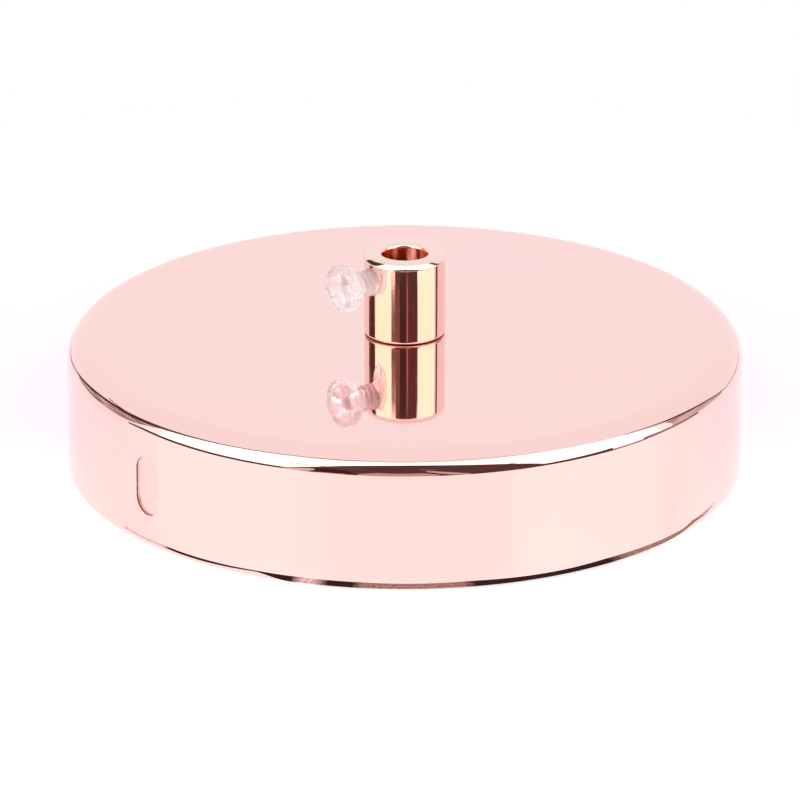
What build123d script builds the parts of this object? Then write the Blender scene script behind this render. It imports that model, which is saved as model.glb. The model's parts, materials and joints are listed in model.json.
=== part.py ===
from build123d import *
import math
import os

# A ceiling canopy for a pendant lamp, standing on its rim with the cord grip upwards.
# Sizes are in millimetres, +Z is up, and the origin is the centre of the rim's plane.
# The two side slots lie on the X axis.

# The cup, deep drawn from steel sheet
CUP_DIAMETER = 120.0
CUP_HEIGHT = 25.0
SHEET = 0.8
CUP_EDGE_RADIUS = 4.3  # outside, where the plate turns down into the wall
RIM_RADIUS = 1.7  # outside, where the wall turns in at its foot
RIM_LIP = 1.2  # flat of the turned-in rim, which lies against the ceiling
BEND_FLATS = 3  # that draw each small bend, and the inside of the plate's edge
HOLE_CLEARANCE = 0.3  # round the tube, in the plate and the washer

# The two slots for the side fixing screws
SLOT_WIDTH = 6.0
SLOT_HEIGHT = 10.8
SLOT_CENTRE_HEIGHT = 11.6  # above the rim's plane

# The cord grip's barrel, turned from bar
CORD_BORE = 8.0  # through the barrel and the tube
BARREL_WALL = 3.2  # round the bore
BARREL_HEIGHT = 15.1
BARREL_TOP_WIDTH = 1.6  # inwards, of its rounded top edge
BARREL_TOP_DROP = 1.0  # and down
BARREL_FOOT_CHAMFER = 0.3
BORE_MOUTH_CHAMFER = 0.5
TAP_MOUTH_CHAMFER = 0.4
SHOULDER_HEIGHT = 1.35  # of metal between the tube's tapped hole and the screw's

# The tube that joins the barrel to the cup, and its fine thread
TUBE_DIAMETER = 9.9
TUBE_STUB = 1.3  # that shows under the nut
TUBE_END_CHAMFER = 0.3  # at its lower end
THREAD_CLEARANCE = 0.05  # round every threaded piece

# The lock washer and the nut under the plate
WASHER_DIAMETER = 18.0
WASHER_THICKNESS = 0.9
WASHER_RING_WIDTH = 1.9  # of the plain ring inside the teeth
WASHER_TEETH = 8
WASHER_GAP_WIDTH = 1.8  # between two teeth
NUT_ACROSS_FLATS = 14.0
NUT_THICKNESS = 3.0
NUT_CORNER_ANGLE = 30.0  # of the turned bevel that takes the corners off below

# The clamp screw of clear plastic
SCREW_DIAMETER = 4.8
SCREW_LENGTH = 7.0  # of the threaded shank
SCREW_TIP_CHAMFER = 0.5
SCREW_BELOW_TOP = 4.3  # of its axis, under the barrel's top
SCREW_TIP_GAP = 0.25  # of its tip from the cord's bore
SCREW_TURN = 8.4  # degrees from the slot's direction, towards +Y
HEAD_DIAMETER = 8.5
HEAD_THICKNESS = 2.8
HEAD_EDGE_CHAMFER = 0.35
HEAD_FLUTES = 8
FLUTE_RADIUS = 1.0
FLUTE_DEPTH = 0.4
RECESS_LENGTH = 5.4
RECESS_WIDTH = 1.2
RECESS_DEPTH = 1.5
RECESS_TURN = 20.0  # degrees about the screw's axis

# Sizes and heights that follow from the ones above
CUP_RADIUS = CUP_DIAMETER / 2
PLATE_UNDERSIDE = CUP_HEIGHT - SHEET
BORE_RADIUS = CORD_BORE / 2
BARREL_RADIUS = BORE_RADIUS + BARREL_WALL
TUBE_RADIUS = TUBE_DIAMETER / 2
TAP_RADIUS = TUBE_RADIUS + THREAD_CLEARANCE
HOLE_RADIUS = TUBE_RADIUS + HOLE_CLEARANCE
SCREW_RADIUS = SCREW_DIAMETER / 2
SCREW_HOLE_RADIUS = SCREW_RADIUS + THREAD_CLEARANCE
HEAD_RADIUS = HEAD_DIAMETER / 2
HEAD_SEAT = BORE_RADIUS + SCREW_TIP_GAP + SCREW_LENGTH  # from the barrel's axis to the head
SCREW_HEIGHT = BARREL_HEIGHT - SCREW_BELOW_TOP  # of its axis above the plate
TAP_DEPTH = SCREW_HEIGHT - SCREW_HOLE_RADIUS - SHOULDER_HEIGHT
TUBE_TOP = CUP_HEIGHT + TAP_DEPTH
WASHER_BOTTOM = PLATE_UNDERSIDE - WASHER_THICKNESS
NUT_BOTTOM = WASHER_BOTTOM - NUT_THICKNESS
TUBE_BOTTOM = NUT_BOTTOM - TUBE_STUB


def turned(outline):
    """Revolve a closed half section, drawn in X and Z, about the Z axis."""
    return revolve(Plane.XZ * outline, Axis.Z)


def corner_at(section, x, z):
    """The one corner of a half section that lies at x, z."""
    return section.vertices().sort_by_distance((x, z, 0))[0]


def bend(centre_x, centre_z, radius, first, last, height=None):
    """Points along a bend of the section, from its first to its last angle in degrees.

    A bend that isn't as high as it is wide has a height of its own."""
    angles = [math.radians(first + (last - first) * i / BEND_FLATS) for i in range(BEND_FLATS + 1)]
    height = height or radius
    return [(centre_x + radius * math.cos(a), centre_z + height * math.sin(a)) for a in angles]


def canopy_cup():
    """The drawn cup: flat plate, rounded edge, wall and turned-in rim, with its three holes."""
    edge_x = CUP_RADIUS - CUP_EDGE_RADIUS
    edge_z = CUP_HEIGHT - CUP_EDGE_RADIUS
    rim_x = CUP_RADIUS - RIM_RADIUS
    rounded_edge = RadiusArc((edge_x, CUP_HEIGHT), (CUP_RADIUS, edge_z), CUP_EDGE_RADIUS)
    rest_of_sheet = Polyline(
        (CUP_RADIUS, edge_z),
        *bend(rim_x, RIM_RADIUS, RIM_RADIUS, 0, -90),
        (rim_x - RIM_LIP, 0),
        (rim_x - RIM_LIP, SHEET),
        *bend(rim_x, RIM_RADIUS, RIM_RADIUS - SHEET, -90, 0),
        *bend(edge_x, edge_z, CUP_EDGE_RADIUS - SHEET, 0, 90),
        (HOLE_RADIUS, PLATE_UNDERSIDE),
        (HOLE_RADIUS, CUP_HEIGHT),
        (edge_x, CUP_HEIGHT),
    )
    cup = turned(make_face([rounded_edge, rest_of_sheet]))
    slot = Plane.YZ * Pos(0, SLOT_CENTRE_HEIGHT) * SlotOverall(SLOT_HEIGHT, SLOT_WIDTH, rotation=90)
    return cup - extrude(slot, CUP_DIAMETER, both=True)


def cord_grip_barrel():
    """The turned barrel: cord bore, tapped foot and a tapped hole through one side."""
    top_x = BARREL_RADIUS - BARREL_TOP_WIDTH
    top_z = BARREL_HEIGHT - BARREL_TOP_DROP
    section = make_face(
        Polyline(
            (BORE_RADIUS, TAP_DEPTH),
            (BORE_RADIUS, BARREL_HEIGHT),
            *bend(top_x, top_z, BARREL_TOP_WIDTH, 90, 0, BARREL_TOP_DROP),
            (BARREL_RADIUS, 0),
            (TAP_RADIUS, 0),
            (TAP_RADIUS, TAP_DEPTH),
            close=True,
        )
    )
    section = chamfer(corner_at(section, BORE_RADIUS, BARREL_HEIGHT), BORE_MOUTH_CHAMFER)
    section = chamfer(corner_at(section, BARREL_RADIUS, 0), BARREL_FOOT_CHAMFER)
    section = chamfer(corner_at(section, TAP_RADIUS, 0), TAP_MOUTH_CHAMFER)
    barrel = Pos(0, 0, CUP_HEIGHT) * turned(section)
    hole = extrude(Circle(SCREW_HOLE_RADIUS), 2 * BARREL_RADIUS)
    return barrel - screw_place(0) * hole


def screw_place(distance_out):
    """A place on the screw's axis, so far out of the barrel's axis, with its Z pointing out."""
    turn = 180 - SCREW_TURN
    place = Pos(0, 0, CUP_HEIGHT + SCREW_HEIGHT) * Rot(0, 0, turn) * Rot(0, 90, 0)
    return place * Pos(0, 0, distance_out)


def threaded_tube():
    """The short tube, screwed home in the barrel and reaching down through the plate."""
    ring = Circle(TUBE_RADIUS) - Circle(BORE_RADIUS)
    tube = Pos(0, 0, TUBE_BOTTOM) * extrude(ring, TUBE_TOP - TUBE_BOTTOM)
    lower_edge = tube.edges().group_by(Axis.Z)[0].sort_by(SortBy.RADIUS)[-1]
    return chamfer(lower_edge, TUBE_END_CHAMFER)


def lock_washer():
    """A flat ring with teeth round its outside, pressed flat between the plate and the nut."""
    ring_radius = HOLE_RADIUS + WASHER_RING_WIDTH
    washer = Circle(WASHER_DIAMETER / 2) - Circle(HOLE_RADIUS)
    gap_length = WASHER_DIAMETER / 2 - ring_radius
    gap = Rectangle(gap_length * 2, WASHER_GAP_WIDTH)
    gap += Pos(-gap_length, 0) * Circle(WASHER_GAP_WIDTH / 2)
    reach = ring_radius + gap_length + WASHER_GAP_WIDTH / 2
    washer -= PolarLocations(reach, WASHER_TEETH) * gap
    return Pos(0, 0, WASHER_BOTTOM) * extrude(washer, WASHER_THICKNESS)


def hex_nut():
    """The thin hexagon nut, its corners turned off on the face away from the washer."""
    flats = NUT_ACROSS_FLATS / 2
    corner = flats / math.cos(math.pi / 6)
    bevel = (corner - flats) * math.tan(math.radians(NUT_CORNER_ANGLE))
    nut = extrude(RegularPolygon(flats, 6, major_radius=False) - Circle(TAP_RADIUS), NUT_THICKNESS)
    blank = make_face(
        Polyline(
            (0, 0),
            (flats, 0),
            (corner, bevel),
            (corner, NUT_THICKNESS),
            (0, NUT_THICKNESS),
            close=True,
        )
    )
    return Pos(0, 0, NUT_BOTTOM) * (nut & turned(blank))


def clamp_screw():
    """The thumb screw: plain threaded shank, fluted head and a cross recess in its face."""
    shank = extrude(Circle(SCREW_RADIUS), -SCREW_LENGTH)
    shank = chamfer(shank.edges().sort_by(Axis.Z)[0], SCREW_TIP_CHAMFER)
    outline = Circle(HEAD_RADIUS)
    flute_centre = HEAD_RADIUS + FLUTE_RADIUS - FLUTE_DEPTH
    outline -= PolarLocations(flute_centre, HEAD_FLUTES) * Circle(FLUTE_RADIUS)
    head = extrude(outline, HEAD_THICKNESS)
    head = chamfer(head.faces().sort_by(Axis.Z)[-1].edges(), HEAD_EDGE_CHAMFER)
    arm = Rectangle(RECESS_LENGTH, RECESS_WIDTH)
    recess = Rot(0, 0, RECESS_TURN) * (arm + Rot(0, 0, 90) * arm)
    head -= Pos(0, 0, HEAD_THICKNESS - RECESS_DEPTH) * extrude(recess, RECESS_DEPTH)
    return screw_place(HEAD_SEAT) * (shank + head)


PIECES = {
    "canopy_cup": canopy_cup,
    "cord_grip_barrel": cord_grip_barrel,
    "threaded_tube": threaded_tube,
    "lock_washer": lock_washer,
    "hex_nut": hex_nut,
    "clamp_screw": clamp_screw,
}

os.makedirs("parts", exist_ok=True)
for name, make in PIECES.items():
    export_step(make(), f"parts/{name}.step")
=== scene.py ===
import json
import math

import bmesh
import bpy
from mathutils import Matrix, Vector


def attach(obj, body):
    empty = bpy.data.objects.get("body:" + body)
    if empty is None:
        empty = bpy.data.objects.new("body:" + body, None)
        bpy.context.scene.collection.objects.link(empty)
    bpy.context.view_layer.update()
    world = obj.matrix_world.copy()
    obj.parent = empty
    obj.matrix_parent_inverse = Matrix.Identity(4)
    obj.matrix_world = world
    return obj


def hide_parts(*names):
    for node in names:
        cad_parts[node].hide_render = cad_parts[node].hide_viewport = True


# A ceiling canopy for a pendant lamp, standing on its rim on a pale floor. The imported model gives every
# piece its place; the shapes here are drawn in millimetres on the cup's axis and made metres at the end.
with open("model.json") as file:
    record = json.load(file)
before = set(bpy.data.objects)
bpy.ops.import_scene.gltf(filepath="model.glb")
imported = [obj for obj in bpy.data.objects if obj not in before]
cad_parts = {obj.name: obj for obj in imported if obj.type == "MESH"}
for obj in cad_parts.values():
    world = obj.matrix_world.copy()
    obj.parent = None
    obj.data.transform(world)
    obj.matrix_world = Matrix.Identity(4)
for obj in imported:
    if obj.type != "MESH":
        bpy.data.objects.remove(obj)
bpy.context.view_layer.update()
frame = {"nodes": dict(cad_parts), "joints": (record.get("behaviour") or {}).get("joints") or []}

# The cup
# Deep drawn from steel sheet of 0.8 mm, with a flat plate, a rounded edge and a rim that turns in. It is
# polished and then plated in rose gold. Two slots are punched through its wall for the side screws.
MM = 0.001  # in metres
CUP_RADIUS = 60.0
CUP_HEIGHT = 25.0
SHEET = 0.8
CUP_EDGE_RADIUS = 4.3  # where the plate turns down into the wall
RIM_RADIUS = 1.7  # where the wall turns in at its foot
RIM_LIP = 1.2  # flat of the turned-in rim
LIP_ROUNDING = 0.2  # of the sheet's cut edge
PLATE_HOLE_RADIUS = 5.25  # round the tube
CUP_STEPS = 720  # round the whole cup
SLOT_WIDTH = 6.0
SLOT_HEIGHT = 10.8
SLOT_CENTRE_HEIGHT = 11.6
SLOT_STEPS = 24  # in each round end


def rounded_section(corners):
    """The closed outline of a half section in X and Z. Each corner is x, z, rounding, flats in it."""
    shape = bmesh.new()
    points = [shape.verts.new((x, 0, z)) for x, z, _, _ in corners]
    shape.faces.new(points)
    for point, (_, _, radius, flats) in zip(points, corners):
        if radius:
            bmesh.ops.bevel(
                shape, geom=[point], offset=radius, offset_type="OFFSET", segments=flats,
                profile=0.5, affect="VERTICES", material=-1,
            )
    bmesh.ops.delete(shape, geom=shape.faces[:], context="FACES_ONLY")
    return shape


def turn(shape, steps):
    """Spin an outline once round Z into a closed skin."""
    bmesh.ops.spin(
        shape, geom=shape.verts[:] + shape.edges[:], cent=(0, 0, 0), axis=(0, 0, 1), dvec=(0, 0, 0),
        angle=math.tau, steps=steps, use_merge=True,
    )
    bmesh.ops.recalc_face_normals(shape, faces=shape.faces[:])


def combine(shape, tool, operation):
    """Join, cut or intersect a closed shape with another one."""
    objects = []
    for part in (shape, tool):
        mesh = bpy.data.meshes.new("blank")
        part.to_mesh(mesh)
        objects.append(bpy.data.objects.new("blank", mesh))
        bpy.context.scene.collection.objects.link(objects[-1])
    boolean = objects[0].modifiers.new("combine", "BOOLEAN")
    boolean.object = objects[1]
    boolean.operation = operation
    boolean.solver = "EXACT"  # the quicker solver leaves the threads uncut
    worked = objects[0].evaluated_get(bpy.context.evaluated_depsgraph_get())
    result = bpy.data.meshes.new_from_object(worked)
    shape.clear()
    shape.from_mesh(result)
    for blank in objects:
        bpy.data.meshes.remove(blank.data)
    bpy.data.meshes.remove(result)


def object_of(name, shape, material):
    """An object in the scene with the shape as its mesh."""
    mesh = bpy.data.meshes.new(name)
    shape.to_mesh(mesh)
    mesh.materials.append(material)
    made = bpy.data.objects.new(name, mesh)
    bpy.context.scene.collection.objects.link(made)
    return made


def piece(name, shape, material, crease=30.0):
    """Make the shape a piece in metres, smooth but for its creases."""
    bmesh.ops.remove_doubles(shape, verts=shape.verts[:], dist=1e-4)
    bmesh.ops.scale(shape, vec=(MM, MM, MM), verts=shape.verts[:])
    for face in shape.faces:
        face.smooth = True
    for edge in shape.edges:
        edge.smooth = edge.calc_face_angle(0) < math.radians(crease)
    made = object_of(name, shape, material)
    normals = made.modifiers.new("flat faces stay flat", "WEIGHTED_NORMAL")
    normals.keep_sharp = True
    return made


def colour(code):
    """The linear colour of an sRGB hex code."""
    parts = [int(code[i : i + 2], 16) / 255 for i in (0, 2, 4)]
    return [c / 12.92 if c <= 0.04045 else ((c + 0.055) / 1.055) ** 2.4 for c in parts] + [1.0]


def add_node(tree, kind, settings, inputs):
    """Add a node with its settings, and give its inputs their values or links."""
    node = tree.nodes.new(kind)
    for name, value in settings.items():
        setattr(node, name, value)
    for name, value in inputs.items():
        if isinstance(value, bpy.types.NodeSocket):
            tree.links.new(value, node.inputs[name])
        else:
            node.inputs[name].default_value = value
    return node


def start_material(name):
    """A material with an empty tree, and the place on the object in millimetres."""
    material = bpy.data.materials.new(name)
    material.use_nodes = True
    tree = material.node_tree
    tree.nodes.clear()
    place = add_node(tree, "ShaderNodeTexCoord", {}, {}).outputs["Object"]
    scaled = add_node(tree, "ShaderNodeVectorMath", {"operation": "SCALE"}, {0: place, "Scale": 1 / MM})
    return material, tree, scaled.outputs[0]


cup_shape = rounded_section(
    [
        (PLATE_HOLE_RADIUS, CUP_HEIGHT - SHEET, 0, 0),
        (PLATE_HOLE_RADIUS, CUP_HEIGHT, 0, 0),
        (CUP_RADIUS, CUP_HEIGHT, CUP_EDGE_RADIUS, 24),
        (CUP_RADIUS, 0, RIM_RADIUS, 12),
        (CUP_RADIUS - RIM_RADIUS - RIM_LIP, 0, LIP_ROUNDING, 3),
        (CUP_RADIUS - RIM_RADIUS - RIM_LIP, SHEET, LIP_ROUNDING, 3),
        (CUP_RADIUS - SHEET, SHEET, RIM_RADIUS - SHEET, 8),
        (CUP_RADIUS - SHEET, CUP_HEIGHT - SHEET, CUP_EDGE_RADIUS - SHEET, 16),
    ]
)
turn(cup_shape, CUP_STEPS)

# One punch for both slots: an upright obround, a little longer than the cup is wide
punch = bmesh.new()
bmesh.ops.create_circle(punch, cap_ends=True, radius=SLOT_WIDTH / 2, segments=2 * SLOT_STEPS)
half_straight = (SLOT_HEIGHT - SLOT_WIDTH) / 2
one_end = [v for v in punch.verts if v.co.x >= -1e-4]
other_end = [v for v in punch.verts if v.co.x < -1e-4]
bmesh.ops.translate(punch, vec=(half_straight, 0, 0), verts=one_end)
bmesh.ops.translate(punch, vec=(-half_straight, 0, 0), verts=other_end)
upright = Matrix.Rotation(math.radians(90), 3, "Y")
bmesh.ops.rotate(punch, cent=(0, 0, 0), matrix=upright, verts=punch.verts[:])
bmesh.ops.translate(punch, vec=(-1.1 * CUP_RADIUS, 0, SLOT_CENTRE_HEIGHT), verts=punch.verts[:])
pushed = bmesh.ops.extrude_face_region(punch, geom=punch.faces[:])["geom"]
bmesh.ops.translate(
    punch, vec=(2.2 * CUP_RADIUS, 0, 0), verts=[v for v in pushed if isinstance(v, bmesh.types.BMVert)]
)
bmesh.ops.recalc_face_normals(punch, faces=punch.faces[:])
combine(cup_shape, punch, "DIFFERENCE")

# The slots' cut faces get the second of the cup's two materials
for face in cup_shape.faces:
    middle = face.calc_center_median()
    by_slot = abs(middle.y) < SLOT_WIDTH and abs(middle.z - SLOT_CENTRE_HEIGHT) < SLOT_HEIGHT / 2 + 0.5
    if by_slot and abs(face.normal.x) < 0.1:
        face.material_index = 1

# Rose gold plating on polished steel. It is a clear pink mirror; the sheet under it has a faint orange
# peel and a long, low wave from the drawing, and here and there a speck of dust in the plating.
CUP_PLATING = "FBD5D5"
CUP_PLATING_WARM = "FBD3CD"
CUP_TONE_SIZE = 30.0
CUP_HAZE_SIZE = 5.0
SPECK_SPACING = 9.0
SPECK_RADIUS = 0.162
PEEL_SIZE = 1.6
PEEL_DEPTH = 0.0015
WAVE_SIZE = 18.0
WAVE_DEPTH = 0.03
cup_plating, tree, place = start_material("rose_gold_plated_steel")
tone = add_node(tree, "ShaderNodeTexNoise", {}, {"Vector": place, "Scale": 1 / CUP_TONE_SIZE})
plating_colour = add_node(
    tree, "ShaderNodeMix", {"data_type": "RGBA"},
    {0: tone.outputs["Fac"], 6: colour(CUP_PLATING), 7: colour(CUP_PLATING_WARM)},
)
haze = add_node(tree, "ShaderNodeTexNoise", {}, {"Vector": place, "Scale": 1 / CUP_HAZE_SIZE, "Detail": 4.0})
polish = add_node(
    tree, "ShaderNodeMapRange", {},
    {"Value": haze.outputs["Fac"], "From Min": 0.3, "From Max": 0.7, "To Min": 0.02, "To Max": 0.045},
)
specks = add_node(tree, "ShaderNodeTexVoronoi", {}, {"Vector": place, "Scale": 1 / SPECK_SPACING})
on_speck = add_node(
    tree, "ShaderNodeMath", {"operation": "LESS_THAN"},
    {0: specks.outputs["Distance"], 1: SPECK_RADIUS / SPECK_SPACING},
)
roughness = add_node(
    tree, "ShaderNodeMath", {"operation": "MULTIPLY_ADD"},
    {0: on_speck.outputs[0], 1: 0.35, 2: polish.outputs[0]},
)
peel = add_node(tree, "ShaderNodeTexNoise", {}, {"Vector": place, "Scale": 1 / PEEL_SIZE})
peel_bump = add_node(
    tree, "ShaderNodeBump", {},
    {"Strength": 0.5, "Distance": PEEL_DEPTH * MM, "Height": peel.outputs["Fac"]},
)
wave = add_node(tree, "ShaderNodeTexNoise", {}, {"Vector": place, "Scale": 1 / WAVE_SIZE, "Detail": 0.0})
wave_bump = add_node(
    tree, "ShaderNodeBump", {},
    {
        "Strength": 0.5, "Distance": WAVE_DEPTH * MM, "Height": wave.outputs["Fac"],
        "Normal": peel_bump.outputs[0],
    },
)
shader = add_node(
    tree, "ShaderNodeBsdfPrincipled", {},
    {
        "Base Color": plating_colour.outputs[2],
        "Metallic": 1.0,
        "Roughness": roughness.outputs[0],
        "Normal": wave_bump.outputs[0],
    },
)
add_node(tree, "ShaderNodeOutputMaterial", {}, {"Surface": shader.outputs[0]})

# The same plating on the punched faces of the slots, duller than on the polished sheet. A brown band of
# painted shade runs along the outer edge, where the punch went in, and draws a fine dark line round the slot.
PUNCHED_PLATING = "FCEEED"
PUNCHED_EDGE_SHADE = "6E4236"
PUNCHED_EDGE_WIDTH = 0.3
PUNCHED_GRAIN_SIZE = 0.5
punched_plating, tree, place = start_material("rose_gold_plated_steel_punched")
flattened = add_node(tree, "ShaderNodeVectorMath", {"operation": "MULTIPLY"}, {0: place, 1: (1, 1, 0)})
from_axis = add_node(tree, "ShaderNodeVectorMath", {"operation": "LENGTH"}, {0: flattened.outputs[0]})
grain = add_node(tree, "ShaderNodeTexNoise", {}, {"Vector": place, "Scale": 1 / PUNCHED_GRAIN_SIZE})
ragged = add_node(
    tree, "ShaderNodeMath", {"operation": "MULTIPLY_ADD"},
    {0: grain.outputs["Fac"], 1: 0.2, 2: from_axis.outputs["Value"]},
)
# Painted shade: a brown band along the outer 0.3 mm of the cut face
outer_edge = add_node(
    tree, "ShaderNodeMapRange", {},
    {
        "Value": ragged.outputs[0],
        "From Min": CUP_RADIUS - PUNCHED_EDGE_WIDTH, "From Max": CUP_RADIUS - PUNCHED_EDGE_WIDTH + 0.2,
    },
)
punched_colour = add_node(
    tree, "ShaderNodeMix", {"data_type": "RGBA"},
    {0: outer_edge.outputs[0], 6: colour(PUNCHED_PLATING), 7: colour(PUNCHED_EDGE_SHADE)},
)
dull = add_node(
    tree, "ShaderNodeMapRange", {}, {"Value": grain.outputs["Fac"], "To Min": 0.3, "To Max": 0.5}
)
shader = add_node(
    tree, "ShaderNodeBsdfPrincipled", {},
    {"Base Color": punched_colour.outputs[2], "Metallic": 1.0, "Roughness": dull.outputs[0]},
)
add_node(tree, "ShaderNodeOutputMaterial", {}, {"Surface": shader.outputs[0]})

cup = piece("cup", cup_shape, cup_plating)
cup.data.materials.append(punched_plating)
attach(cup, "canopy")
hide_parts("canopy_cup")

# The cord grip's barrel
# Turned from brass bar, drilled for the cord and tapped from below for the tube and from the side for the
# clamp screw. It is polished and plated with the cup, and stands on the plate.
BORE_RADIUS = 4.0
BARREL_RADIUS = 7.2
BARREL_HEIGHT = 15.1
BARREL_TOP_WIDTH = 0.65  # inwards, of the bevel round its top
BARREL_TOP_DROP = 1.04  # and down
BEVEL_UPPER_ROUNDING = 0.35
BEVEL_LOWER_ROUNDING = 0.2
BORE_MOUTH = 0.8
BARREL_FOOT = 0.6
TAP_MOUTH = 0.3
BARREL_STEPS = 512  # round the whole barrel
TAP_RADIUS = 5.0  # of the tapped hole in its foot
TAP_DEPTH = 7.0
SCREW_HEIGHT = CUP_HEIGHT + 10.8  # of the clamp screw's axis
SCREW_HOLE_RADIUS = 2.45

barrel_shape = rounded_section(
    [
        (BORE_RADIUS, TAP_DEPTH, 0, 0),
        (BORE_RADIUS, BARREL_HEIGHT, BORE_MOUTH, 10),
        (BARREL_RADIUS - BARREL_TOP_WIDTH, BARREL_HEIGHT, BEVEL_UPPER_ROUNDING, 8),
        (BARREL_RADIUS, BARREL_HEIGHT - BARREL_TOP_DROP, BEVEL_LOWER_ROUNDING, 6),
        (BARREL_RADIUS, 0, BARREL_FOOT, 10),
        (TAP_RADIUS, 0, TAP_MOUTH, 3),
        (TAP_RADIUS, TAP_DEPTH, 0, 0),
    ]
)
bmesh.ops.translate(barrel_shape, vec=(0, 0, CUP_HEIGHT), verts=barrel_shape.verts[:])
turn(barrel_shape, BARREL_STEPS)

# The screw's own axes: Z points out of the barrel along the joint that the screw moves on
inward = Vector(frame["joints"][0]["axis"])
pointing_out = (-inward).to_track_quat("Z", "X").to_matrix().to_4x4()
screw_place = Matrix.Translation((0, 0, SCREW_HEIGHT)) @ pointing_out
drill = bmesh.new()
bmesh.ops.create_cone(
    drill, cap_ends=True, segments=96, radius1=SCREW_HOLE_RADIUS, radius2=SCREW_HOLE_RADIUS,
    depth=2 * BARREL_RADIUS, matrix=screw_place @ Matrix.Translation((0, 0, BARREL_RADIUS)),
)
combine(barrel_shape, drill, "DIFFERENCE")

# The same plating on polished brass, a shade warmer. The turning leaves the finest rings round it, drawn
# here wider apart than real ones, so that they show. In the bore it is duller and so thin that the copper
# under it shows. Round the foot, where the barrel meets the plate, it is brown with painted shade.
BARREL_PLATING = "FBDAD1"
BARREL_PLATING_DEEP = "F9D7CB"
BORE_COPPER = "F4AC96"
FOOT_SHADE = "96533A"
BARREL_TONE_SIZE = 6.0
BARREL_HAZE_SIZE = 1.5
RING_SPACING = 0.35
RING_DEPTH = 0.001
barrel_plating, tree, place = start_material("rose_gold_plated_brass")
tone = add_node(tree, "ShaderNodeTexNoise", {}, {"Vector": place, "Scale": 1 / BARREL_TONE_SIZE})
outside_colour = add_node(
    tree, "ShaderNodeMix", {"data_type": "RGBA"},
    {0: tone.outputs["Fac"], 6: colour(BARREL_PLATING), 7: colour(BARREL_PLATING_DEEP)},
)
haze = add_node(
    tree, "ShaderNodeTexNoise", {}, {"Vector": place, "Scale": 1 / BARREL_HAZE_SIZE, "Detail": 4.0}
)
polish = add_node(
    tree, "ShaderNodeMapRange", {},
    {"Value": haze.outputs["Fac"], "From Min": 0.3, "From Max": 0.7, "To Min": 0.03, "To Max": 0.06},
)
flattened = add_node(tree, "ShaderNodeVectorMath", {"operation": "MULTIPLY"}, {0: place, 1: (1, 1, 0)})
from_axis = add_node(tree, "ShaderNodeVectorMath", {"operation": "LENGTH"}, {0: flattened.outputs[0]})
in_bore = add_node(
    tree, "ShaderNodeMath", {"operation": "LESS_THAN"},
    {0: from_axis.outputs["Value"], 1: BORE_RADIUS + 0.02},
)
roughness = add_node(
    tree, "ShaderNodeMath", {"operation": "MULTIPLY_ADD"},
    {0: in_bore.outputs[0], 1: 0.12, 2: polish.outputs[0]},
)
bored_colour = add_node(
    tree, "ShaderNodeMix", {"data_type": "RGBA"},
    {0: in_bore.outputs[0], 6: outside_colour.outputs[2], 7: colour(BORE_COPPER)},
)
height = add_node(tree, "ShaderNodeSeparateXYZ", {}, {0: place}).outputs["Z"]
# Painted shade: brown at the barrel's foot, where it meets the plate, fading out 0.35 mm up
foot = add_node(
    tree, "ShaderNodeMapRange", {},
    {
        "Value": height, "From Min": CUP_HEIGHT + 0.1, "From Max": CUP_HEIGHT + 0.35,
        "To Min": 1.0, "To Max": 0.0,
    },
)
plating_colour = add_node(
    tree, "ShaderNodeMix", {"data_type": "RGBA"},
    {0: foot.outputs[0], 6: bored_colour.outputs[2], 7: colour(FOOT_SHADE)},
)
rings = add_node(
    tree, "ShaderNodeTexNoise", {"noise_dimensions": "1D"},
    {"W": height, "Scale": 1 / RING_SPACING, "Detail": 2.0},
)
rings_bump = add_node(
    tree, "ShaderNodeBump", {},
    {"Strength": 0.5, "Distance": RING_DEPTH * MM, "Height": rings.outputs["Fac"]},
)
shader = add_node(
    tree, "ShaderNodeBsdfPrincipled", {},
    {
        "Base Color": plating_colour.outputs[2],
        "Metallic": 1.0,
        "Roughness": roughness.outputs[0],
        "Normal": rings_bump.outputs[0],
    },
)
add_node(tree, "ShaderNodeOutputMaterial", {}, {"Surface": shader.outputs[0]})

barrel = piece("barrel", barrel_shape, barrel_plating)
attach(barrel, "canopy")
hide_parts("cord_grip_barrel")

# The tube
# A short piece of steel tube with a fine M10 thread, zinc plated. It is screwed home in the barrel, passes
# through the plate and carries the washer and the nut; its bore goes on from the barrel's.
TUBE_RADIUS = 4.95
TUBE_BOTTOM = 19.0
TUBE_TOP = CUP_HEIGHT + TAP_DEPTH
TUBE_THREAD_DEPTH = 0.5
TUBE_THREAD_ROUNDING = 0.12
TUBE_PITCH = 1.0
TUBE_STEPS = 96  # round the whole tube


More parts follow.
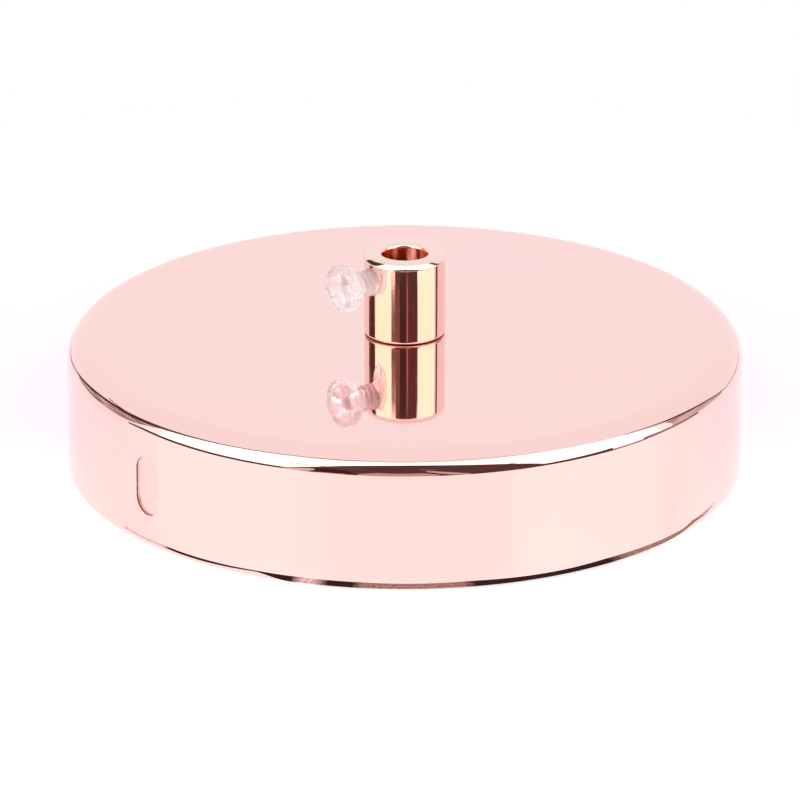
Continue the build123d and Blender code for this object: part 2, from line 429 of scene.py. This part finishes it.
def threaded_rod(radius, depth, pitch, bottom, top, steps, rounding):
    """A closed rod with an outside thread, cut off square at its bottom and its top.

    The crest is drawn out a little before its rounding takes that off again."""
    rod = bmesh.new()
    root = radius - depth
    low, crest, high = [rod.verts.new(p) for p in ((root, 0, 0), (radius, 0, pitch / 2), (root, 0, pitch))]
    rod.edges.new((low, crest))
    rod.edges.new((crest, high))
    bmesh.ops.translate(rod, vec=(rounding / 4, 0, 0), verts=[crest])
    bmesh.ops.bevel(
        rod, geom=[crest], offset=rounding, offset_type="OFFSET", segments=4, profile=0.5,
        affect="VERTICES", material=-1,
    )
    bmesh.ops.translate(rod, vec=(0, 0, bottom - 2 * pitch), verts=rod.verts[:])
    turns = math.ceil((top - bottom) / pitch) + 3
    bmesh.ops.spin(
        rod, geom=rod.verts[:] + rod.edges[:], cent=(0, 0, 0), axis=(0, 0, 1), dvec=(0, 0, pitch / steps),
        angle=turns * math.tau, steps=turns * steps, use_merge=False,
    )
    bmesh.ops.remove_doubles(rod, verts=rod.verts[:], dist=1e-3)
    for end, side in ((bottom, "clear_inner"), (top, "clear_outer")):
        bmesh.ops.bisect_plane(
            rod, geom=rod.verts[:] + rod.edges[:] + rod.faces[:], plane_co=(0, 0, end),
            plane_no=(0, 0, 1), **{side: True},
        )
        rim = [e for e in rod.edges if e.is_boundary and abs(e.verts[0].co.z - end) < 1e-4]
        bmesh.ops.edgeloop_fill(rod, edges=[e for e in rim if abs(e.verts[1].co.z - end) < 1e-4])
    bmesh.ops.recalc_face_normals(rod, faces=rod.faces[:])
    return rod


tube_shape = rounded_section(
    [
        (BORE_RADIUS, TUBE_BOTTOM, 0.2, 3),
        (TUBE_RADIUS + 0.1, TUBE_BOTTOM, 0.5, 1),
        (TUBE_RADIUS + 0.1, TUBE_TOP, 0, 0),
        (BORE_RADIUS, TUBE_TOP, 0, 0),
    ]
)
turn(tube_shape, TUBE_STEPS)
rod = threaded_rod(
    TUBE_RADIUS, TUBE_THREAD_DEPTH, TUBE_PITCH, TUBE_BOTTOM - 0.5, TUBE_TOP - 0.01, TUBE_STEPS,
    TUBE_THREAD_ROUNDING,
)
combine(tube_shape, rod, "INTERSECT")

# Zinc plating on steel: a pale, slightly blue grey satin with a soft spangle and a fine grain, which is
# drawn coarser than the real one, so that it shows.
ZINC = "CFD2D4"
ZINC_DULL = "ACB1B6"
SPANGLE_SIZE = 1.5
ZINC_HAZE_SIZE = 0.6
ZINC_GRAIN_SIZE = 0.12
ZINC_GRAIN_DEPTH = 0.007
zinc, tree, place = start_material("zinc_plated_steel")
spangle = add_node(
    tree, "ShaderNodeTexNoise", {}, {"Vector": place, "Scale": 1 / SPANGLE_SIZE, "Detail": 3.0}
)
zinc_colour = add_node(
    tree, "ShaderNodeMix", {"data_type": "RGBA"},
    {0: spangle.outputs["Fac"], 6: colour(ZINC), 7: colour(ZINC_DULL)},
)
haze = add_node(tree, "ShaderNodeTexNoise", {}, {"Vector": place, "Scale": 1 / ZINC_HAZE_SIZE, "Detail": 3.0})
satin = add_node(
    tree, "ShaderNodeMapRange", {},
    {"Value": haze.outputs["Fac"], "From Min": 0.3, "From Max": 0.7, "To Min": 0.26, "To Max": 0.4},
)
grain = add_node(tree, "ShaderNodeTexNoise", {}, {"Vector": place, "Scale": 1 / ZINC_GRAIN_SIZE})
grain_bump = add_node(
    tree, "ShaderNodeBump", {},
    {"Strength": 0.6, "Distance": ZINC_GRAIN_DEPTH * MM, "Height": grain.outputs["Fac"]},
)
shader = add_node(
    tree, "ShaderNodeBsdfPrincipled", {},
    {
        "Base Color": zinc_colour.outputs[2],
        "Metallic": 1.0,
        "Roughness": satin.outputs[0],
        "Normal": grain_bump.outputs[0],
    },
)
add_node(tree, "ShaderNodeOutputMaterial", {}, {"Surface": shader.outputs[0]})

tube = piece("tube", tube_shape, zinc)
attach(tube, "canopy")
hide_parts("threaded_tube")

# The lock washer and the nut
# Stamped and cold formed steel, zinc plated with the tube. They clamp the plate from below, and keep the
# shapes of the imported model.
for node in ("lock_washer", "hex_nut"):
    frame["nodes"][node].data.materials.clear()
    frame["nodes"][node].data.materials.append(zinc)

# The clamp screw
# Moulded in one piece of clear plastic, with a coarse thread, a fluted head to turn by hand and a cross
# recess in its face. It screws into the barrel's side and its tip presses on the cord.
HEAD_SEAT = 11.25  # from the barrel's axis
SCREW_RADIUS = 2.4
SCREW_THREAD_DEPTH = 0.5
SCREW_THREAD_ROUNDING = 0.2
SCREW_PITCH = 1.0
SCREW_LENGTH = 7.0
SCREW_STEPS = 64
HEAD_RADIUS = 4.25
HEAD_THICKNESS = 2.8
HEAD_EDGE = 0.35  # rounding of its face's edge
HEAD_BACK = 1.1  # and of its back edge
HEAD_STEPS = 96
FLUTES = 8
FLUTE_RADIUS = 1.0
FLUTE_DEPTH = 0.4
RECESS_LENGTH = 5.4
RECESS_WIDTH = 1.2
RECESS_DEPTH = 1.5
RECESS_TURN = 20.0

# The shank's blank has a chamfered tip, and the thread is cut to it
screw_shape = rounded_section(
    [
        (0, -SCREW_LENGTH, 0, 0),
        (SCREW_RADIUS + 0.05, -SCREW_LENGTH, 0.5, 1),
        (SCREW_RADIUS + 0.05, 0.3, 0, 0),
        (0, 0.3, 0, 0),
    ]
)
turn(screw_shape, SCREW_STEPS)
bmesh.ops.remove_doubles(screw_shape, verts=screw_shape.verts[:], dist=1e-4)
bmesh.ops.recalc_face_normals(screw_shape, faces=screw_shape.faces[:])
rod = threaded_rod(
    SCREW_RADIUS, SCREW_THREAD_DEPTH, SCREW_PITCH, -SCREW_LENGTH - 0.5, 0.5, SCREW_STEPS,
    SCREW_THREAD_ROUNDING,
)
combine(screw_shape, rod, "INTERSECT")

# The head is turned, then fluted round its side, and its face is cut with two crossing arms
head = rounded_section(
    [
        (0, 0, 0, 0),
        (HEAD_RADIUS, 0, HEAD_BACK, 8),
        (HEAD_RADIUS, HEAD_THICKNESS, HEAD_EDGE, 5),
        (0, HEAD_THICKNESS, 0, 0),
    ]
)
turn(head, HEAD_STEPS)
bmesh.ops.remove_doubles(head, verts=head.verts[:], dist=1e-4)
bmesh.ops.recalc_face_normals(head, faces=head.faces[:])
for i in range(FLUTES):
    flute = bmesh.new()
    around = Matrix.Rotation(i * math.tau / FLUTES, 4, "Z")
    out = Matrix.Translation((HEAD_RADIUS + FLUTE_RADIUS - FLUTE_DEPTH, 0, HEAD_THICKNESS / 2))
    bmesh.ops.create_cone(
        flute, cap_ends=True, segments=48, radius1=FLUTE_RADIUS, radius2=FLUTE_RADIUS,
        depth=2 * HEAD_THICKNESS, matrix=around @ out,
    )
    combine(head, flute, "DIFFERENCE")
for i in range(2):
    arm = bmesh.new()
    size = Matrix.Diagonal((RECESS_LENGTH, RECESS_WIDTH, 2 * RECESS_DEPTH, 1))
    around = Matrix.Rotation(math.radians(RECESS_TURN + 90 * i), 4, "Z")
    bmesh.ops.create_cube(
        arm, size=1, matrix=Matrix.Translation((0, 0, HEAD_THICKNESS)) @ around @ size
    )
    combine(head, arm, "DIFFERENCE")
combine(screw_shape, head, "UNION")
bmesh.ops.transform(
    screw_shape, matrix=screw_place @ Matrix.Translation((0, 0, HEAD_SEAT)), verts=screw_shape.verts[:]
)

# Clear polycarbonate as it comes from the mould: colourless and a little milky, with a bright skin and
# faint flow marks. A quarter of the light goes straight through, so its many edges stay pale.
MOTTLE_SIZE = 0.8
FLOW_SIZE = 1.2
FLOW_DEPTH = 0.02
STRAIGHT_SHARE = 0.25
clear_plastic, tree, place = start_material("clear_polycarbonate")
mottle = add_node(tree, "ShaderNodeTexNoise", {}, {"Vector": place, "Scale": 1 / MOTTLE_SIZE})
skin = add_node(
    tree, "ShaderNodeMapRange", {},
    {"Value": mottle.outputs["Fac"], "From Min": 0.3, "From Max": 0.7, "To Min": 0.02, "To Max": 0.06},
)
flow = add_node(tree, "ShaderNodeTexNoise", {}, {"Vector": place, "Scale": 1 / FLOW_SIZE})
flow_bump = add_node(
    tree, "ShaderNodeBump", {},
    {"Strength": 0.5, "Distance": FLOW_DEPTH * MM, "Height": flow.outputs["Fac"]},
)
shader = add_node(
    tree, "ShaderNodeBsdfPrincipled", {},
    {
        "Base Color": colour("FFFCFF"),
        "Roughness": skin.outputs[0],
        "IOR": 1.58,
        "Transmission Weight": 0.72,
        "Normal": flow_bump.outputs[0],
    },
)
straight = add_node(tree, "ShaderNodeBsdfTransparent", {}, {"Color": colour("FFFBFF")})
plastic = add_node(
    tree, "ShaderNodeMixShader", {},
    {0: STRAIGHT_SHARE, 1: shader.outputs[0], 2: straight.outputs[0]},
)
add_node(tree, "ShaderNodeOutputMaterial", {}, {"Surface": plastic.outputs[0]})

screw = piece("clamp_screw_clear", screw_shape, clear_plastic)
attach(screw, "screw")
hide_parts("clamp_screw")

# The camera
# A long lens at the photo's side of the cup, about 21 degrees above the floor, aimed a little beside the
# axis as the photo is framed.
CAMERA_AZIMUTH = math.radians(-42.2)
CAMERA_ELEVATION = math.radians(21.07)
CAMERA_DISTANCE = 1.2
AIM_HEIGHT = 0.012
AIM_ASIDE = -0.00083
towards_camera = Vector((math.sin(CAMERA_AZIMUTH), -math.cos(CAMERA_AZIMUTH), 0))
aside = Vector((math.cos(CAMERA_AZIMUTH), math.sin(CAMERA_AZIMUTH), 0))
back = towards_camera * math.cos(CAMERA_ELEVATION) + Vector((0, 0, math.sin(CAMERA_ELEVATION)))
aim = Vector((0, 0, AIM_HEIGHT)) + aside * AIM_ASIDE
camera_data = bpy.data.cameras.new("camera")
camera_data.lens = 303.0
camera_data.sensor_width = 36.0
camera_data.clip_start = 0.01
camera_data.clip_end = 100.0
camera = bpy.data.objects.new("camera", camera_data)
camera.location = aim + back * CAMERA_DISTANCE
camera.rotation_euler = (-back).to_track_quat("-Z", "Y").to_euler()
bpy.context.scene.collection.objects.link(camera)
bpy.context.scene.camera = camera

# The studio
# A round white table in a white tent. The polished plating mirrors a large soft light that curves round the
# front, the arch that the camera looks through, and the dark seams where the cloths of the tent meet.
bpy.context.scene.view_settings.view_transform = "Standard"

# Light finds its way out of the plated bore and the clear screw only after many turns
BOUNCES = 32
cycles = bpy.context.scene.cycles
cycles.max_bounces = cycles.glossy_bounces = cycles.transmission_bounces = BOUNCES


def looked_at(tree):
    """1 for a ray that looks at the studio, straight, mirrored or through the screw, and 0 for others."""
    path = add_node(tree, "ShaderNodeLightPath", {}, {})
    direct = add_node(
        tree, "ShaderNodeMath", {"operation": "ADD"},
        {0: path.outputs["Is Camera Ray"], 1: path.outputs["Is Glossy Ray"]},
    )
    return add_node(
        tree, "ShaderNodeMath", {"operation": "ADD", "use_clamp": True},
        {0: direct.outputs[0], 1: path.outputs["Is Transmission Ray"]},
    ).outputs[0]


# The tent's cloth all round looks white, and lights the matt surfaces only at TENT_LEVEL
TENT_LEVEL = 0.45
world = bpy.data.worlds.new("white tent")
world.use_nodes = True
bpy.context.scene.world = world
tree = world.node_tree
tree.nodes.clear()
strength = add_node(
    tree, "ShaderNodeMapRange", {}, {"Value": looked_at(tree), "To Min": TENT_LEVEL, "To Max": 1.0}
)
background = add_node(
    tree, "ShaderNodeBackground", {}, {"Color": colour("FFFFFF"), "Strength": strength.outputs[0]}
)
add_node(tree, "ShaderNodeOutputWorld", {}, {"Surface": background.outputs[0]})


def glow(name, code, strength=1.0, streaks=None):
    """A cloth or card that only gives off light. It can have level streaks of a second colour."""
    material, tree, place = start_material(name)
    shade = colour(code)
    if streaks:
        # Each streak is about 670 mm long and 50 mm high
        stretched = add_node(
            tree, "ShaderNodeVectorMath", {"operation": "MULTIPLY"}, {0: place, 1: (0.0015, 0.0015, 0.02)}
        )
        streak = add_node(tree, "ShaderNodeTexNoise", {}, {"Vector": stretched.outputs[0], "Scale": 1.0})
        share = add_node(
            tree, "ShaderNodeMapRange", {},
            {"Value": streak.outputs["Fac"], "From Min": 0.42, "From Max": 0.58},
        )
        shade = add_node(
            tree, "ShaderNodeMix", {"data_type": "RGBA"},
            {0: share.outputs[0], 6: colour(code), 7: colour(streaks)},
        ).outputs[2]
    light = add_node(tree, "ShaderNodeEmission", {}, {"Color": shade, "Strength": strength})
    add_node(tree, "ShaderNodeOutputMaterial", {}, {"Surface": light.outputs[0]})
    return material


def hang(name, shape, material, seen_through=False):
    """Hang a piece of the tent, turned round to the camera's side, where only mirrors show it.

    With seen_through it also shows through the clear screw."""
    bmesh.ops.rotate(
        shape, cent=(0, 0, 0), matrix=Matrix.Rotation(CAMERA_AZIMUTH, 3, "Z"), verts=shape.verts[:]
    )
    made = object_of(name, shape, material)
    made.visible_camera = False
    made.visible_shadow = False
    made.visible_diffuse = False
    made.visible_transmission = seen_through
    return made


def draw_strip(shape, pairs):
    """Draw an edge on through pairs of points, and give the vertices of the strip in pairs."""
    edge = shape.edges.new([shape.verts.new(end) for end in pairs[0]])
    stations = [edge.verts[:]]
    for last, ends in zip(pairs, pairs[1:]):
        drawn = bmesh.ops.extrude_edge_only(shape, edges=[edge])["geom"]
        edge = next(part for part in drawn if isinstance(part, bmesh.types.BMEdge))
        stations.append(sorted(edge.verts, key=lambda v: (v.co - last[0]).length))
        for vert, end in zip(stations[-1], ends):
            vert.co = end
    return stations


TENT_CENTRE = Vector((0, 0, 0.022))  # just under the plate, on the axis


def direction(azimuth, elevation):
    """The way to a place in the tent in degrees: azimuth 0 is the camera's, and grows to the right."""
    up = math.radians(elevation)
    return Matrix.Rotation(math.radians(azimuth), 3, "Z") @ Vector((0, -math.cos(up), math.sin(up)))


def cloth(name, material, distance, stations, seen_through=False):
    """A cloth round the table, with its lowest and highest elevation at each azimuth."""
    shape = bmesh.new()
    pairs = [
        [direction(azimuth, elevation) * distance + TENT_CENTRE for elevation in (low, high)]
        for azimuth, low, high in stations
    ]
    draw_strip(shape, pairs)
    return hang(name, shape, material, seen_through)


# The cloths, their distances in metres. A nearer one hides those behind it.
LIGHT_DISTANCE = 3.0
SEAM_DISTANCE = 2.8
GAP_DISTANCE = 2.6
soft_light = glow("soft light", "FFFEF2", 1.95)
side_light = glow("soft light at the side", "FFF6EE", 1.35)
golden_light = glow("golden light", "FFF6DA", 1.9)
seam = glow("dark seam", "4C3A38")
thin_seam = glow("thin seam", "B8A49C")
pale_seam = glow("pale seam", "E4DCD2")
light_cloth = cloth(
    "light cloth", soft_light, LIGHT_DISTANCE,
    [
        (-88, 0, 24), (-80, 0, 31), (-70, 0, 38), (-60, 0, 43), (-45, 0, 48), (-30, 0, 51), (-15, 0, 53),
        (0, 0, 54), (15, 0, 54), (30, 0, 52), (45, 0, 50), (60, 0, 46), (70, 0, 42), (80, 0, 35), (92, 0, 24),
    ],
    seen_through=True,
)
light_cloth.visible_diffuse = True  # it alone lights matt surfaces too
for name, stations in (
    ("light cloth's left end", [(-97, 0, 2), (-94, 0, 14), (-88, 0, 24)]),
    ("light cloth's right end", [(92, 0, 24), (98, 0, 14), (99, 0, 3)]),
):
    cloth(name, side_light, LIGHT_DISTANCE + 0.05, stations, True)

# A band of the light is golden at the one height that the barrel mirrors
MIRRORED_BAND = (19.6, 21.5)
for name, azimuths in (
    ("left golden band", (-92, -79, -66, -53, -40)),
    ("right golden band", (38, 50, 62, 74, 86)),
):
    cloth(name, golden_light, 2.7, [(azimuth, *MIRRORED_BAND) for azimuth in azimuths], True)
cloth(
    "left seam", seam, SEAM_DISTANCE,
    [
        (-141, -1, 1), (-130, 5, 10), (-120, 12, 17), (-110, 15, 22), (-100, 17, 27), (-94, 21, 30),
        (-88, 27, 33), (-80, 32, 37), (-70, 38, 42), (-60, 44, 47), (-50, 49, 51.5),
    ],
)
cloth("far left seam", thin_seam, SEAM_DISTANCE, [(-170, -12, -10), (-150, -7, -4.5), (-141, -1.5, 1)])
cloth(
    "upper left seam", thin_seam, SEAM_DISTANCE,
    [(-50, 49, 52), (-40, 51.5, 55), (-30, 53, 57), (-20, 54.5, 58.5)],
)
cloth(
    "upper seam", pale_seam, SEAM_DISTANCE,
    [(-20, 54.5, 59), (0, 55.5, 60), (20, 55, 59), (40, 53, 57), (58, 48, 51)],
)
cloth(
    "right seam", seam, SEAM_DISTANCE,
    [(86, 32, 34), (92, 28, 31), (100, 20, 25), (108, 14, 19), (116, 8, 12), (124, 1, 3), (132, -5, -4)],
)
cloth("far right seam", thin_seam, SEAM_DISTANCE, [(132, -5.5, -4), (150, -8, -6), (170, -12, -10)])
cloth(
    "left corner", glow("shaded corner", "7C5F5C", streaks="E8D0CA"), 2.9,
    [
        (-138, -1, 2), (-128, -2, 10), (-118, -1, 17), (-108, 0, 22), (-101, 3, 26), (-97, 9, 24),
        (-92, 20, 26),
    ],
)
cloth(
    "right corner", glow("pale corner", "A98D87", streaks="F0E2DC"), 2.9,
    [(98, 0, 20), (103, -2, 20), (110, -3, 15), (120, -4, 7), (129, -6, -2)],
)

# The dark gap between the lights and the table, and the arch with the dim room behind the camera
gap = glow("gap under the light", "5C4342")
cloth(
    "left gap", gap, GAP_DISTANCE,
    [(-102, -5, -2), (-95, -4, 2), (-80, -6.5, 1), (-60, -8, 0), (-38, -9, -1)],
)
cloth("right gap", gap, GAP_DISTANCE, [(42, -10, 0), (55, -9, 1), (71, -8, 3)])
cloth("thin gap", glow("thin gap", "8A5A48"), GAP_DISTANCE, [(70, -7.5, -3), (77, -7.5, -4), (86, -7, -3)])
cloth(
    "far right gap", glow("streaked gap", "5C4342", streaks="C9A79C"), GAP_DISTANCE,
    [(84, -6, 3), (92, -5.5, 1), (112, -6, -2)],
)
room = glow("dim room", "57403F")
cloth(
    "arch", room, 2.4,
    [
        (-41, -9, -5), (-38, -9, 1), (-35, -9, 7), (-31, -9, 13), (-27, -9, 20), (-22, -9, 29),
        (-16, -9, 35), (-8, -9, 39.5), (2, -9, 41.5), (11, -9, 40), (19, -9, 36), (26, -9, 31),
        (32, -9, 25), (37, -9, 18), (41, -9, 11), (45, -9, 2), (47, -9, -5),
    ],
)

# Soft patches in the dim room, which the rounded edge mirrors, and bands at the one height that the barrel
# mirrors
for name, code, distance, stations in (
    ("pale patch", "E2D2C2", 2.0, [(-40, -9, -6), (-36, -9, 2), (-31, -5, 7), (-29, 2, 6)]),
    ("pink patch", "C9AEA4", 2.0, [(-28, -9, -6), (-24, -9, -4), (-19, -9, -5)]),
    ("dark patch", "3A2824", 1.9, [(-29, -2, 9), (-26, -5, 12), (-20, -5, 10), (-17, -3, 6)]),
    ("warm patch", "C8A697", 2.0, [(-15, -9, -2), (-9, -9, 6), (-2, -9, 4), (6, -9, 6), (11, -9, -3)]),
    ("light streak", "D2B4AA", 2.0, [(7, 12, 16), (10, 5, 13), (15, -4, 6), (21, -9, -4)]),
    ("brown band", "85605A", 1.8, [(azimuth, *MIRRORED_BAND) for azimuth in (-38.5, -26, -14)]),
    ("black band", "4A3030", 1.8, [(azimuth, *MIRRORED_BAND) for azimuth in (-13, 4.5)]),
    ("copper line", "AE7F72", 1.8, [(azimuth, *MIRRORED_BAND) for azimuth in (5, 9.5)]),
    ("plum band", "633A44", 1.8, [(azimuth, *MIRRORED_BAND) for azimuth in (10, 37.5)]),
    ("left band", "5A3C38", 1.8, [(-122, 19.8, 21.4), (-110, 19.8, 21.4)]),
):
    cloth(name, glow(name, code), distance, stations)

# A bright cloth overhead, which shows only through the clear screw
overhead_cloth = bmesh.new()
bmesh.ops.create_circle(overhead_cloth, cap_ends=True, radius=3.0, segments=64)
bmesh.ops.translate(overhead_cloth, vec=(0, 0, 2.1), verts=overhead_cloth.verts[:])
overhead = hang("overhead cloth", overhead_cloth, glow("overhead cloth", "FFFAFF", 3.4), True)
overhead.visible_glossy = False

# The floor: a white table top with a faint contact shadow. For the plating it is as bright as it looks, with
# a slight sheen of the lights, a little cooler behind the cup. Under the cup it glows pink and brighter, a
# painted light for what the cup's inside throws on it. The floor isn't there for a camera below it.
TABLE_RADIUS = 0.205
TABLE_DROP = 0.02 * MM  # under the rim
TABLE_MATT = "BEBEBE"
TABLE_SHEEN = "404040"
TABLE_FRONT = "FFFFFF"
TABLE_BEHIND = "EFE6F6"
TABLE_COVERED_GLOW = "FFE4E2"
OPEN_LIFT = 0.66
COVERED_LIFT = 0.76
floor_material, tree, place = start_material("white table")
from_axis = add_node(tree, "ShaderNodeVectorMath", {"operation": "LENGTH"}, {0: place})
uncovered = add_node(
    tree, "ShaderNodeMath", {"operation": "GREATER_THAN"},
    {0: from_axis.outputs["Value"], 1: CUP_RADIUS - RIM_RADIUS},
)
# Painted light: the covered middle glows brighter than the open floor
level = add_node(
    tree, "ShaderNodeMapRange", {},
    {"Value": uncovered.outputs[0], "To Min": COVERED_LIFT, "To Max": OPEN_LIFT},
)
lift = add_node(
    tree, "ShaderNodeMath", {"operation": "MULTIPLY"}, {0: looked_at(tree), 1: level.outputs[0]}
)
behind = add_node(
    tree, "ShaderNodeVectorMath", {"operation": "DOT_PRODUCT"}, {0: place, 1: -towards_camera}
)
far = add_node(
    tree, "ShaderNodeMapRange", {}, {"Value": behind.outputs["Value"], "From Min": -25.0, "From Max": 15.0}
)
open_colour = add_node(
    tree, "ShaderNodeMix", {"data_type": "RGBA"},
    {0: far.outputs[0], 6: colour(TABLE_FRONT), 7: colour(TABLE_BEHIND)},
)
# Painted light: under the cup the floor glows pink
glow_colour = add_node(
    tree, "ShaderNodeMix", {"data_type": "RGBA"},
    {0: uncovered.outputs[0], 6: colour(TABLE_COVERED_GLOW), 7: open_colour.outputs[2]},
)
matt = add_node(tree, "ShaderNodeBsdfDiffuse", {}, {"Color": colour(TABLE_MATT)})
bright = add_node(
    tree, "ShaderNodeEmission", {}, {"Color": glow_colour.outputs[2], "Strength": lift.outputs[0]}
)
table = add_node(tree, "ShaderNodeAddShader", {}, {0: matt.outputs[0], 1: bright.outputs[0]})
sheen = add_node(tree, "ShaderNodeBsdfGlossy", {}, {"Color": colour(TABLE_SHEEN), "Roughness": 0.12})
sheened = add_node(tree, "ShaderNodeAddShader", {}, {0: table.outputs[0], 1: sheen.outputs[0]})
side = add_node(tree, "ShaderNodeNewGeometry", {}, {})
open_below = add_node(tree, "ShaderNodeBsdfTransparent", {}, {})
surface = add_node(
    tree, "ShaderNodeMixShader", {},
    {0: side.outputs["Backfacing"], 1: sheened.outputs[0], 2: open_below.outputs[0]},
)
add_node(tree, "ShaderNodeOutputMaterial", {}, {"Surface": surface.outputs[0]})
floor_shape = bmesh.new()
bmesh.ops.create_circle(floor_shape, cap_ends=True, radius=TABLE_RADIUS, segments=128)
bmesh.ops.translate(floor_shape, vec=(0, 0, -TABLE_DROP), verts=floor_shape.verts[:])
floor = object_of("floor", floor_shape, floor_material)

# A painted contact shadow under the rim, as the rounded rim mirrors it: one dark strip round the front. At
# each azimuth it has an inner and an outer radius in millimetres and one of three tones, which run over
# into each other.
CONTACT_DARK = "36272B"
CONTACT_BROWN = "A78B85"
CONTACT_PALE = "EDD7D6"
CONTACT_HEIGHT = 0.03 * MM  # over the rim's plane, just clear of the table
SPECKLE_SIZE = 0.8
contact_stations = (
    (-58, 62.5, 63.0, CONTACT_PALE), (-46, 61.0, 63.2, CONTACT_PALE), (-44.5, 60.8, 63.0, CONTACT_DARK),
    (-26, 61.4, 63.0, CONTACT_DARK), (-19.3, 58.5, 63.0, CONTACT_DARK), (-17.4, 58.0, 63.0, CONTACT_PALE),
    (-15.8, 58.0, 63.0, CONTACT_PALE), (-13, 58.0, 63.0, CONTACT_DARK), (-8.8, 58.0, 63.0, CONTACT_DARK),
    (-7, 58.0, 63.0, CONTACT_BROWN), (9.5, 58.0, 63.0, CONTACT_BROWN), (12, 58.0, 63.0, CONTACT_DARK),
    (37, 58.0, 63.0, CONTACT_DARK), (41, 58.0, 63.0, CONTACT_BROWN), (61, 62.0, 63.0, CONTACT_BROWN),
    (70, 62.6, 63.0, CONTACT_PALE),
)
contact = bmesh.new()
tints = contact.verts.layers.float_color.new("tint")
lifted = Vector((0, 0, CONTACT_HEIGHT))
drawn = draw_strip(
    contact,
    [
        [direction(azimuth, 0) * radius * MM + lifted for radius in (inner, outer)]
        for azimuth, inner, outer, _ in contact_stations
    ],
)
for verts, (_, _, _, code) in zip(drawn, contact_stations):
    for vert in verts:
        vert[tints] = colour(code)
# Painted shadow: the strip gives off its dark tones, and only mirrors see it
contact_shadow_paint, tree, place = start_material("contact")
tint = add_node(tree, "ShaderNodeAttribute", {"attribute_name": "tint"}, {})
speckle = add_node(
    tree, "ShaderNodeTexNoise", {}, {"Vector": place, "Scale": 1 / SPECKLE_SIZE, "Detail": 3.0}
)
varied = add_node(
    tree, "ShaderNodeMapRange", {},
    {"Value": speckle.outputs["Fac"], "From Min": 0.35, "From Max": 0.65, "To Min": 0.7, "To Max": 1.4},
)
light = add_node(
    tree, "ShaderNodeEmission", {}, {"Color": tint.outputs["Color"], "Strength": varied.outputs[0]}
)
add_node(tree, "ShaderNodeOutputMaterial", {}, {"Surface": light.outputs[0]})
hang("contact", contact, contact_shadow_paint)

# One soft lamp overhead
lamp_data = bpy.data.lights.new("overhead", "AREA")
lamp_data.shape = "DISK"
lamp_data.size = 1.0
lamp_data.energy = 2.0
lamp = bpy.data.objects.new("overhead", lamp_data)
lamp.location = (0, 0, 2.0)
lamp.visible_glossy = False
bpy.context.scene.collection.objects.link(lamp)
